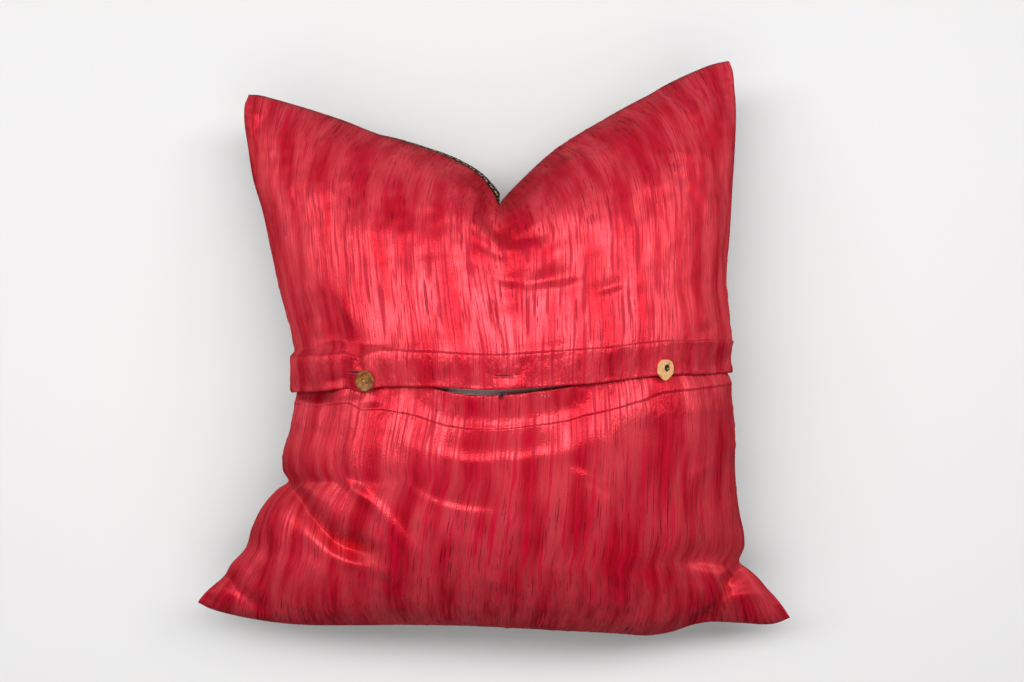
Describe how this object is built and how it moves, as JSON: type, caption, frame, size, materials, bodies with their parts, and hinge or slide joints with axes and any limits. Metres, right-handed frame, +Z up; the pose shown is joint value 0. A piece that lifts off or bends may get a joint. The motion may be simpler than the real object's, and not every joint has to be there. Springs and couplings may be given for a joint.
{
  "type": "euro pillow cover",
  "caption": "Square satin pillow cover with a buttoned flap across its back, filled, with a chopped top edge, lying on its front.",
  "frame": {"origin": "on the surface it rests on, under the middle of its box", "axes": "+Z up through the buttoned back, +Y towards the chopped top edge, +X to the right as the buttons are seen"},
  "size_m": [0.6371, 0.6066, 0.2451],
  "materials": {
    "back_satin": "slubbed silk satin, red with dark and coral streaks along the warp",
    "front_weave": "coarse plain weave, dark brown with cream flecks",
    "insert_cotton": "plain white cotton",
    "button_shell": "polished coconut shell",
    "button_branch": "sanded end grain with a dark pith"
  },
  "bodies": {
    "root": {"front_panel": "front_weave", "insert": "insert_cotton", "back_lower_panel": "back_satin", "back_upper_panel": "back_satin", "button_left": "button_shell", "button_right": "button_branch"}
  },
  "joints": []
}
